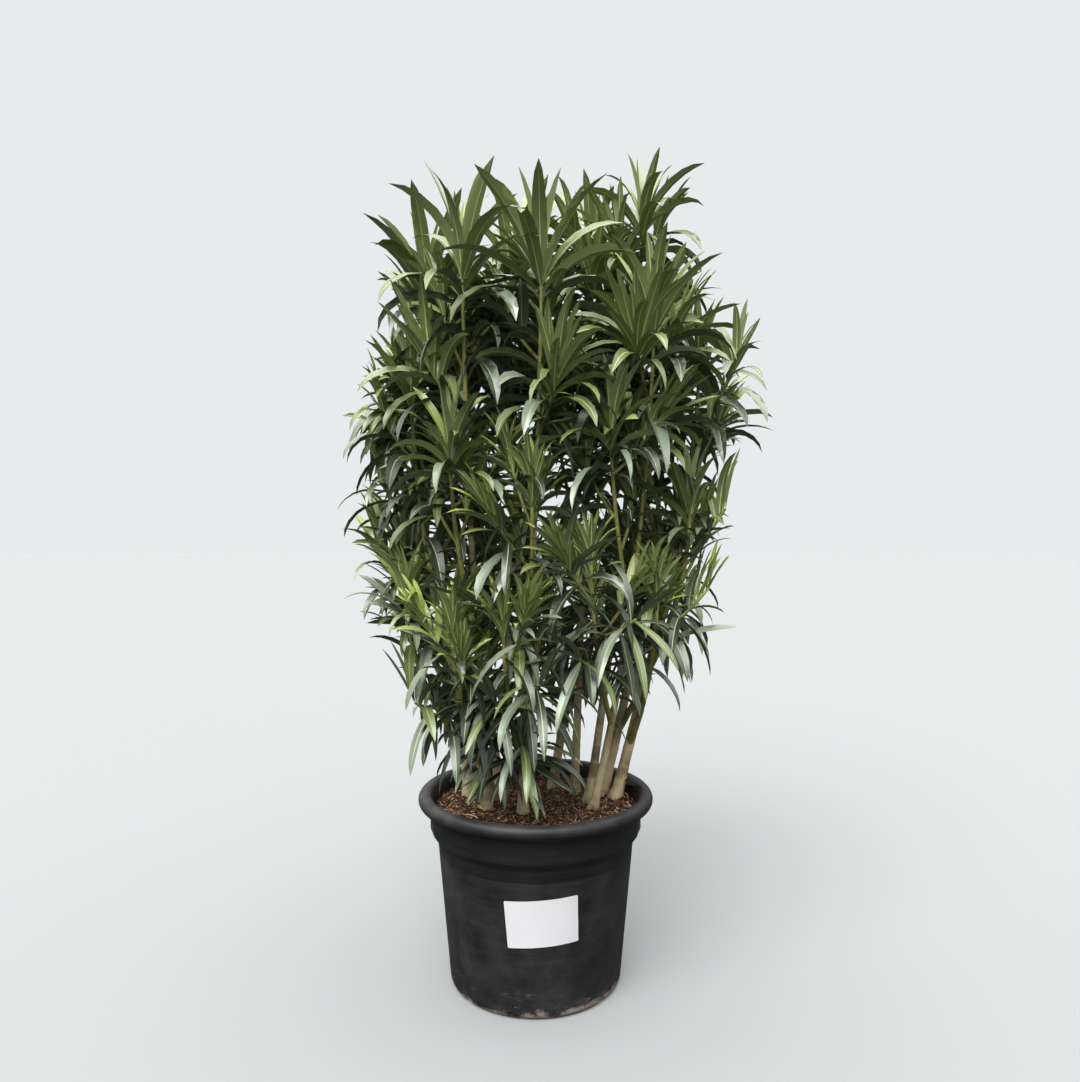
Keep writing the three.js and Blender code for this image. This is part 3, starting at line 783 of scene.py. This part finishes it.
def sidePath(stemCurve, tip):
    end = Vector(tip)
    fork = forkOf(stemCurve, end)
    rise = end - fork
    low = fork + Vector((0.5 * rise.x, 0.5 * rise.y, 0.26 * rise.z))
    high = end - Vector((0.04 * rise.x, 0.04 * rise.y, 0.42 * rise.z))
    return (fork, low, high, end)


# Two directions square to a line
def crosswise(along):
    reference = Vector((0, 1, 0)) if abs(along.y) < 0.9 else Vector((1, 0, 0))
    first = along.cross(reference).normalized()
    return first, first.cross(along).normalized()


def stemRadius(stem, length, share):
    taper = 1 - (1 - shrub["stemTaper"]) * share
    return stem["radius"] * (taper + shrub["flare"] * math.exp(-share * length / shrub["flareHeight"]))


# A limb: its path, its radius at a share of its length, and what its mass of leaves needs
def limbOf(kind, row, **more):
    own = {name: row.get(name, 0) for name in ("lower", "basal", "young", "fresh")}
    return {"name": row["name"], "node": kind + row["name"], **own, **more}


def planLimbs():
    limbs = []
    for index, stem in enumerate(shrub["stems"]):
        path = stemPath(stem)
        length = pathLength(path) * shrub["stemEnd"]
        limbs.append(limbOf(
            "stem_", stem, path=path, end=shrub["stemEnd"], key=index * 10,
            radiusAt=lambda share, stem=stem, length=length: stemRadius(stem, length, share),
            leaf=shrub["leafLength"] * stem.get("leaf", 1), twigs=stem.get("twigs", shrub["topTwigs"])))
        for order, side in enumerate(stem["sides"]):
            curve = sidePath(path, side["tip"])
            foot = stem["radius"] * shrub["boughShare"] * (1 - 0.4 * (curve[0].z - soil["top"]) / 900)
            limbs.append(limbOf(
                "bough_", side, path=curve, end=shrub["boughEnd"], key=index * 10 + order + 1,
                radiusAt=lambda share, foot=foot: foot * (1 - (1 - shrub["boughTaper"]) * share),
                leaf=shrub["sideLeafLength"], twigs=shrub["sideTwigs"]))
    return limbs


# Oleander bark: smooth and tan on old stems, streaked along them, with paler scars where leaves stood
def makeBark(name, tones, scarTone):
    material, tree, shader, place = newMaterial(name, {"Roughness": 0.78, "Specular IOR Level": 0.35})
    streaks = addNoise(tree, place, (300, 300, 34), 5, 0.65)  # 3 by 30 mm
    mottle = addMath(tree, "MULTIPLY_ADD", streaks, 0.55, addNoise(tree, place, 14, 3))
    tone = addRamp(tree, mottle, tuple(zip((0.62, 0.78, 0.95), tones)))
    scar = addNode(tree, "Attribute", {"attribute_name": "scar"}).outputs["Fac"]
    tone = addMix(tree, addMath(tree, "MULTIPLY", scar, 0.45), tone, scarTone)
    tree.links.new(tone, shader.inputs["Base Color"])
    addBump(tree, shader, streaks, 0.6, 0.0008)
    return material


bark = {"around": 16, "step": 6, "scarStep": (30, 46), "scarHeight": 0.45, "relief": 0.06, "sink": 6}


# The bark's relief: a ring where each whorl of leaves stood, shallow ridges along the limb, and a lobed foot
def barkRadius(base, distance, scars, seed):
    ring = sum(math.exp(-((distance - scar) / 2.6) ** 2) for scar in scars)

    def reach(angle):
        around = Vector((1.4 * math.cos(angle), 1.4 * math.sin(angle), distance / 45 + seed))
        finer = Vector((around.x * 2.5, around.y * 2.5, around.z * 2))
        ridges = noise.noise(around) + 0.5 * noise.noise(finer)
        lobes = 0.22 * math.exp(-distance / 14) * math.cos(3 * angle + seed)
        return base * (1 + bark["relief"] * ridges + lobes) + bark["scarHeight"] * ring
    return reach


def scarPlaces(length, key):
    places = []
    at = 18
    while at < length:
        places.append(at)
        at += vary(*bark["scarStep"], key, 90, len(places))
    return places


# One limb with its relief, from its foot, sunk a little into what carries it, to where its mass begins
def makeLimb(limb, material, slot):
    length = pathLength(limb["path"]) * limb["end"]
    count = max(8, round(length / bark["step"]))
    scars = scarPlaces(length, limb["key"])
    points, along, radii, marks = [], [], [], []
    for i in range(-1, count + 1):
        share = max(i, 0) / count
        distance = share * length
        point, tangent = pathAt(limb["path"], share * limb["end"])
        points.append(point - tangent * bark["sink"] if i < 0 else point)
        along.append(tangent)
        radii.append(barkRadius(limb["radiusAt"](share), distance, scars, limb["key"] * 0.37))
        marks.append(sum(math.exp(-((distance - scar) / 3.4) ** 2) for scar in scars))
    piece = joinTubes(limb["node"] + "_bark", [tubeArrays(points, along, radii, bark["around"])])
    scar = piece.data.attributes.new("scar", "FLOAT", "POINT")
    values = [marks[0]] + [mark for mark in marks for _ in range(bark["around"])] + [marks[-1]]
    scar.data.foreach_set("value", np.clip(values, 0, 1).astype(np.float32))
    finishPiece(piece, 60, [material], slot, limb["node"])


# Leaves

reachBox = [Vector(corner) / mm for corner in cadBox]
spare = (reachBox[1] - reachBox[0]) * 0.022  # how far leaves may pass the solids' box


def clearOfPot(point, room):
    out = math.hypot(point.x, point.y)
    overRim = point.z > pot["rimHeight"] + pot["rollRadius"] + room + 1.2
    inside = out < pot["bandRadius"] - 40 - room and point.z > soil["top"] + 14 + room
    outside = out > pot["rimRadius"] + room + 1.2 and point.z > 60
    return overRim or inside or outside


# Within the part's own box, and within the crown's outline, which is a rounded rectangle from above
def inReach(point, most=1):
    heights, lefts, rights = zip(*shrub["crown"])
    left, right = np.interp(point.z, heights, lefts), np.interp(point.z, heights, rights)
    across = (point.x - (left + right) / 2) / ((right - left) / 2)
    deep = (point.y - shrub["crownMiddle"]) / shrub["crownDepth"]
    inBox = all(reachBox[0][k] - spare[k] < point[k] < reachBox[1][k] + spare[k] for k in range(3))
    return inBox and abs(across) ** 2.6 + abs(deep) ** 2.6 < most


def distancesTo(point, starts, steps, squares):
    share = np.clip(((point - starts) * steps).sum(1) / squares, 0, 1)
    return np.linalg.norm(starts + steps * share[:, None] - point, axis=1)


def limbLines(limbs):
    starts, ends, widths = [], [], []
    for limb in limbs:
        line = [pathPoint(limb["path"], limb["end"] * i / 10) for i in range(11)]
        starts += line[:-1]
        ends += line[1:]
        widths += [limb["radiusAt"](0.3)] * 10
    starts, ends = np.array(starts), np.array(ends)
    return starts, ends - starts, ((ends - starts) ** 2).sum(1), np.array(widths)


# The direction at an azimuth and a pitch
def heading(azimuth, pitch):
    return Vector((math.cos(azimuth) * math.cos(pitch), math.sin(azimuth) * math.cos(pitch), math.sin(pitch)))


# Azimuth and pitch of a direction that leaves a shoot at a spread from it and a turn round it
def leaving(along, spread, turn):
    first, second = crosswise(along)
    way = (along * math.cos(spread) + first * (math.sin(spread) * math.cos(turn))
           + second * (math.sin(spread) * math.sin(turn)))
    return math.atan2(way.y, way.x), math.asin(max(-0.999, min(0.999, way.z)))


# A leaf's middle line: it leaves the shoot at a pitch, bends down evenly and sways a little to one side
def leafPoint(leaf, share):
    steps = 4
    point = leaf["root"].copy()
    for i in range(steps):
        s = share * (i + 0.5) / steps
        pitch = leaf["pitch"] - leaf["droop"] * s ** leaf["late"]
        step = leaf["length"] * share / steps
        point += heading(leaf["azimuth"] + leaf["sway"] * s * s, pitch) * step
    return point


# The leaf, raised or shortened until it keeps clear of pot, soil and limbs and within reach, or nothing
def fitted(leaf, lines):
    starts, steps, squares, widths = lines
    least, more = shrub["crownEdge"]
    for size in shrub["trialSizes"]:
        for lift in shrub["trialLifts"]:
            trial = dict(leaf, pitch=min(leaf["pitch"] + lift, 1.45), droop=max(leaf["droop"] - lift, 0.2),
                         length=leaf["length"] * size)
            points = [leafPoint(trial, share) for share in (0.4, 0.6, 0.8, 1)]
            if not all(clearOfPot(point, 4) and inReach(point, least + more * leaf["pick"])
                       for point in points):
                continue
            if all((distancesTo(np.array(point), starts, steps, squares) > widths + 5).all()
                   for point in points):
                return trial
    return None


def whorlPlaces(leafy):
    apart = range(shrub["whorlStart"], max(shrub["whorlStart"], int(leafy) + 6), shrub["whorlStep"])
    return [below for below in (*shrub["rosette"], *apart) if below < leafy + 5]


# The shoot's leaves. Each chance has its own last key.
def leavesOf(shoot):
    leaves = []
    for whorl, below in enumerate(whorlPlaces(shoot["leafy"])):
        root, along = pathAt(shoot["path"], 1 - (below + shoot["lower"]) / shoot["length"])
        hang = min(1, max(0, (shrub["hangBelow"] - root.z) / shrub["hangWithin"])) * min(1, below / 60)
        lost = shrub["lost"] * min(1, below / shrub["lostWithin"])
        if shoot["basal"]:
            hang, lost = shrub["basalHang"], shrub["basalLost"]
        tuft = shoot["young"] and below < shrub["whorlStart"]
        opened = shrub["openMore"] * (1 - math.exp(-below / shrub["openWithin"])) + shrub["hangOpen"] * hang
        bend = shrub["bendMore"] * (1 - math.exp(-below / shrub["bendWithin"])) + shrub["hangBend"] * hang
        wider = shrub["widerWhenOld"] * (1 - math.exp(-below / 90))
        for i in range(shrub["leavesPerWhorl"]):
            key = (shoot["key"], shoot["order"], whorl, i)
            if chance(*key, 11) < lost:
                continue
            spread = math.radians(
                shrub["openAtTip"] + opened * (shrub["tuftOpen"] if tuft else 1) + vary(-9, 9, *key, 1))
            turn = 2 * math.pi * (i / 3 + whorl / 6) + vary(-0.3, 0.3, *key, 2) + shoot["turn"]
            azimuth, pitch = leaving(along, spread, turn)
            droop = shrub["bendAtTip"] + bend + vary(-0.3, 0.5, *key, 3)
            droop *= shrub["tuftBend"] if tuft else 1
            width = (shrub["leafHalfWidth"] + wider) * vary(0.88, 1.1, *key, 10)
            leaves.append({
                "root": root, "azimuth": azimuth, "pitch": pitch, "droop": max(0.1, min(droop, pitch + 1.42)),
                "length": (shrub["youngLeafLength"] if tuft else shoot["leaf"]) * vary(0.84, 1.06, *key, 4),
                "width": width * (shrub["basalWidth"] if shoot["basal"] else 1),
                "late": 1.9 - 1.0 * (1 - math.exp(-below / 60)),  # a young leaf bends near its tip
                "age": whorl + (shrub["basalAge"] if shoot["basal"] else 0), "tint": shoot["tint"],
                "pick": chance(*key, 9), **drawn(shrub["leafChances"], key)})
    return leaves


# The bud at a shoot's tip: three slender leaves, nearly upright
def budOf(shoot):
    full = shrub["youngLeafLength"] if shoot["young"] else shoot["leaf"]
    root, along = pathAt(shoot["path"], 0.995 - shoot["lower"] / shoot["length"])
    leaves = []
    for i in range(3):
        key = (shoot["key"], shoot["order"], 70, i)
        turn = 2 * math.pi * (i / 3 + 0.25) + vary(-0.4, 0.4, *key, 2)
        azimuth, pitch = leaving(along, math.radians(vary(3, 10, *key, 1)), turn)
        leaves.append({
            "root": root, "azimuth": azimuth, "pitch": pitch, "roll": 0, "fold": 0.5, "late": 1.7,
            "length": vary(0.7, 0.94, *key, 4) * full, "width": 0.066, "age": 6 if shoot["basal"] else 0,
            "tint": shoot["tint"], "pick": chance(*key, 9), **drawn(shrub["budChances"], key)})
    return leaves


# A twig from its root at a turn and a slope. sag and rise, of its middle and tip, are shares of its reach.
def twigAt(root, turn, slope, reach, order, sag, rise):
    tip = root + heading(turn, slope) * reach
    bow, lift = Vector((0, 0, -sag * reach)), Vector((0, 0, rise * reach))
    path = (root, root.lerp(tip, 1 / 3) + bow, root.lerp(tip, 2 / 3) + bow, tip + lift)
    return {"path": path, "reach": reach, "order": order}


# The side twigs of a mass: the first two are the solid's own, and the rest fill its head
def twigsOf(limb, length):
    leafyAxis = length * (1 - limb["end"])
    key, foot, top = limb["key"], limb["path"][0], limb["path"][3]
    twigs = []
    for i in range(limb["twigs"]):
        if i < 2:
            below = leafyAxis * (0.3 + 0.55 * i / 2 + vary(0, 0.08, key, 50, i, 1))
            slope = vary(*shrub["twigSlope"], key, 50, i, 4)
            reach = vary(*shrub["twigReach"], key, 50, i, 5)
        else:
            start = 0.14 if top.y > 0 else 0.3
            share = (i - 2 + chance(key, 50, i, 1)) / (limb["twigs"] - 2)
            below = leafyAxis * (start + (0.9 - start) * share ** 1.4)
            slope = vary(*shrub["headTwigSlope"], key, 50, i, 4)
            reach = vary(*shrub["headTwigReach"], key, 50, i, 5)
        turn = 2.4 * i + vary(0, 6.28, key, 50, 0, 2) + vary(-0.3, 0.3, key, 50, i, 3)
        if i > 1 and top.y < 0:  # behind a front shoot, so that its stem shows
            turn = math.pi * (0.06 + 0.88 * (turn % math.pi) / math.pi)
        root = pathPoint(limb["path"], 1 - below / length)
        reach *= min(leafyAxis, shrub["axisMost"])
        twigs.append(twigAt(root, turn, math.radians(slope), reach, i + 1, 0.07, 0))
    outward = math.atan2(top.y - foot.y, top.x - foot.x)
    for i in range(limb["basal"]):  # short twigs near the bough's foot, on its outer side
        order = limb["twigs"] + i + 1
        root = pathPoint(limb["path"], vary(0.06, 0.6, key, 50, order, 1))
        slope = math.radians(vary(*shrub["basalSlope"], key, 50, order, 4))
        turn = outward + 1.9 * (i / max(1, limb["basal"] - 1) - 0.5) + vary(-0.3, 0.3, key, 50, order, 3)
        reach = vary(*shrub["basalReach"], key, 50, order, 5)
        twigs.append(twigAt(root, turn, slope, reach, order, 0, 0.1))
    return twigs


# The spray's tint, from 0 for the darkest and oldest to 2 for fresh green, or lime leaves at its tip
limeSpray = 4


def tintOf(limb, order):
    pick = chance(limb["key"], order, 80)
    if order > limb["twigs"]:
        return 1
    if limb["fresh"]:
        return 2
    if limb["young"]:
        return limeSpray if order == 0 or pick < 0.75 else 1
    return 0 if pick < 0.6 else 1


def shootsOf(limb):
    length = pathLength(limb["path"])
    leafy = length * (1 - limb["end"]) - shrub["axisBare"]
    shoots = [{"path": limb["path"], "length": length, "leafy": leafy, "leaf": limb["leaf"],
               "order": 0, "turn": vary(0, 2, limb["key"], 7), "lower": limb["lower"]}]
    for twig in twigsOf(limb, length):
        tip = twig["path"][3]
        if not clearOfPot(tip, 12) or not inReach(tip):
            continue
        shoots.append({"path": twig["path"], "length": twig["reach"], "order": twig["order"], "lower": 0,
                       "leafy": twig["reach"] - shrub["twigBare"],
                       "leaf": min(limb["leaf"], shrub["leafLength"]) * shrub["twigLeaf"],
                       "turn": vary(0, 2, limb["key"], 7, twig["order"])})
    for shoot in shoots:
        shoot["key"] = limb["key"]
        shoot["basal"] = shoot["order"] > limb["twigs"]
        shoot["young"] = limb["young"] and not shoot["basal"]
        shoot["tint"] = tintOf(limb, shoot["order"])
    return shoots


blade = {
    "sections": (1, 3, 6, 10, 14, 18, 21), "steps": 24,  # sections, in steps from the leaf's foot to its tip
    "petiole": 1.8, "ribHalfWidth": 1.15, "ribHeight": 0.4, "thickness": 0.9, "crease": 22,
}


# The leaf's tints: colour and roughness. Their order is that of the material slots. The leaf with painted
# sheen has a pale grey-green colour that stands in for the sky's reflection.
leafTints = {
    "old leaf": ("#263123", 0.38), "grown leaf": ("#596836", 0.4), "fresh leaf": ("#5b6a2c", 0.45),
    "lime leaf": ("#859536", 0.48), "underside": ("#46523a", 0.6), "young underside": ("#65733f", 0.55),
    "midrib": ("#8b9769", 0.5), "young midrib": ("#b4bd78", 0.5), "leaf with painted sheen": ("#6f7b69", 0.33),
    "head leaf": ("#86944f", 0.42),
}
slotOf = {name: slot for slot, name in enumerate(leafTints)}


# Slots of a leaf's six strips: blade, rib, blade above, and blade, rib, blade below
def leafSlots(leaf):
    age, pick, tint = leaf["age"], leaf["pick"], leaf["tint"]
    if tint == limeSpray:
        face = "lime leaf" if age < 4 or pick < 0.4 and age < 6 else "fresh leaf" if age < 6 else "old leaf"
    elif age < 3 and pick < 0.14 + 0.3 * tint:
        face = "fresh leaf"
    elif age < 6 + 3 * tint:
        face = "head leaf" if age < 4 and leaf["droop"] < 1.05 and pick > 0.2 else "grown leaf"
    else:
        face = "old leaf"
    if age > 5 and pick > 0.42:
        face = "old leaf"
    # some older leaves take the pale grey-green tint, a painted sheen
    if age > 3 and pick > 0.82:
        face = "leaf with painted sheen"
    young = age < 5
    under = "young underside" if young else "underside"
    rib = "young midrib" if young and face not in ("old leaf", "leaf with painted sheen") else "midrib"
    return [slotOf[name] for name in (face, rib, face, under, rib, under)]


# The corners of all leaves: the foot, six round each section, and the tip
def leafArrays(leaves):
    names = ("root", "length", "width", "fold", "azimuth", "pitch", "droop", "sway", "roll", "twist", "late")
    root, length, breadth, fold, azimuth, pitch, droop, sway, roll, twist, late = (
        np.array([leaf[name] for leaf in leaves], float) for name in names)

    def frameAt(share):
        return framesAt(azimuth + sway * share ** 2, pitch - droop * share ** late, roll + twist * share)
    steps = blade["steps"]
    line = [root]
    for i in range(steps):
        line.append(line[-1] + frameAt((i + 0.5) / steps)[0] * (length / steps)[:, None])
    rows = [root]
    for section in blade["sections"]:
        share = section / steps
        _, side, up = frameAt(share)
        eased = share ** 0.92
        width = np.maximum(blade["petiole"], length * breadth * (4 * eased * (1 - eased)) ** 0.7)
        rib = blade["ribHalfWidth"] * (1.15 - 0.75 * share)
        crown = blade["ribHeight"] * (1 - 0.6 * share)
        thick = blade["thickness"] * (1.2 - 0.8 * share)
        out, rise = (width * np.cos(fold))[:, None], (width * np.sin(fold) * min(1, 4 * share))[:, None]
        upper = ((out, rise), (rib, crown), (-rib, crown), (-out, rise))
        for across, height in upper + ((-rib, -thick), (rib, -thick)):
            rows.append(line[section] + side * across + up * height)
    rows.append(line[steps])
    return np.stack(rows, 1)


def makeLeafPiece(name, leaves, *finish):
    rings, strips = len(blade["sections"]), 6
    slots = np.array([np.repeat(leafSlots(leaf), rings + 1) for leaf in leaves]).ravel()
    finishMany(name, leafArrays(leaves), rings, strips, slots, blade["crease"], *finish)


# Oleander leaf: leathery, with a waxy skin that gives a broad soft gloss. Each tint is one plain base colour.
def makeLeafTint(name, tone, roughness):
    material, tree, shader, place = newMaterial(name, {
        "Base Color": tone, "Roughness": roughness, "IOR": 1.6, "Specular IOR Level": 1.0,
        "Specular Tint": "#e6eee0"})
    addBump(tree, shader, addNoise(tree, place, 90, 3, 0.6), 0.3, 0.0012)
    return material


def makeTwigPiece(limb, shoots, material):
    tubes = []
    for shoot in shoots:
        start = limb["end"] if shoot["order"] == 0 else 0
        long = shoot["length"] * (1 - start)
        count = max(4, round(long / 13))
        thick, tip = (limb["radiusAt"](1) * 0.97, 3.4) if shoot["order"] == 0 else (3.6, 2.6)
        top = 1 - shoot["lower"] / shoot["length"]
        shares = [i / count for i in range(count + 1)]
        points, along = zip(*(pathAt(shoot["path"], start + (top - start) * s) for s in shares))
        radii = []
        for s in shares:
            below = (1 - s) * long
            node = max(0, math.cos(2 * math.pi * (below - shrub["whorlStart"]) / shrub["whorlStep"])) ** 4
            radii.append(thick + (tip - thick) * s ** 1.5 + 0.5 * node)
        tubes.append(tubeArrays(points, along, radii, 8))
    piece = joinTubes("twigs_" + limb["name"], tubes)
    finishPiece(piece, 60, [material], "bough_bark")


def makeShrub():
    limbs = planLimbs()
    lines = limbLines(limbs)
    stemBark = makeBark("tan oleander bark", ("#84745a", "#b4a47f", "#d0c09b"), "#d2c39e")
    boughBark = makeBark("olive oleander bark", ("#636239", "#86834c", "#a6a064"), "#ada76b")
    twigBark = makeBark("green twig skin", ("#5d6035", "#7e7f45", "#9a985a"), "#989a5a")
    for limb in limbs:
        isStem = limb["node"].startswith("stem_")
        makeLimb(limb, stemBark if isStem else boughBark, "stem_bark" if isStem else "bough_bark")
    print("limbs made")
    tints = [makeLeafTint(name, *look) for name, look in leafTints.items()]
    total = 0
    for limb in limbs:
        shoots = shootsOf(limb)
        grown = [leaf for shoot in shoots for leaf in budOf(shoot) + leavesOf(shoot)]
        kept = [leaf for leaf in (fitted(leaf, lines) for leaf in grown) if leaf]
        makeLeafPiece("foliage_" + limb["name"], kept, tints, "young_leaf" if limb["young"] else "leaf",
                      "leaves_" + limb["name"])
        makeTwigPiece(limb, shoots, twigBark)
        total += len(kept)
    makeLeafPiece("fallenLeaf", [soil["fallen"]], tints, "leaf")
    print("shrub made:", len(limbs), "limbs,", total, "leaves")


makeCamera()
makeStudio()
makeFloor()
makePot()
makeLabel()
makeSoil()
makeShrub()
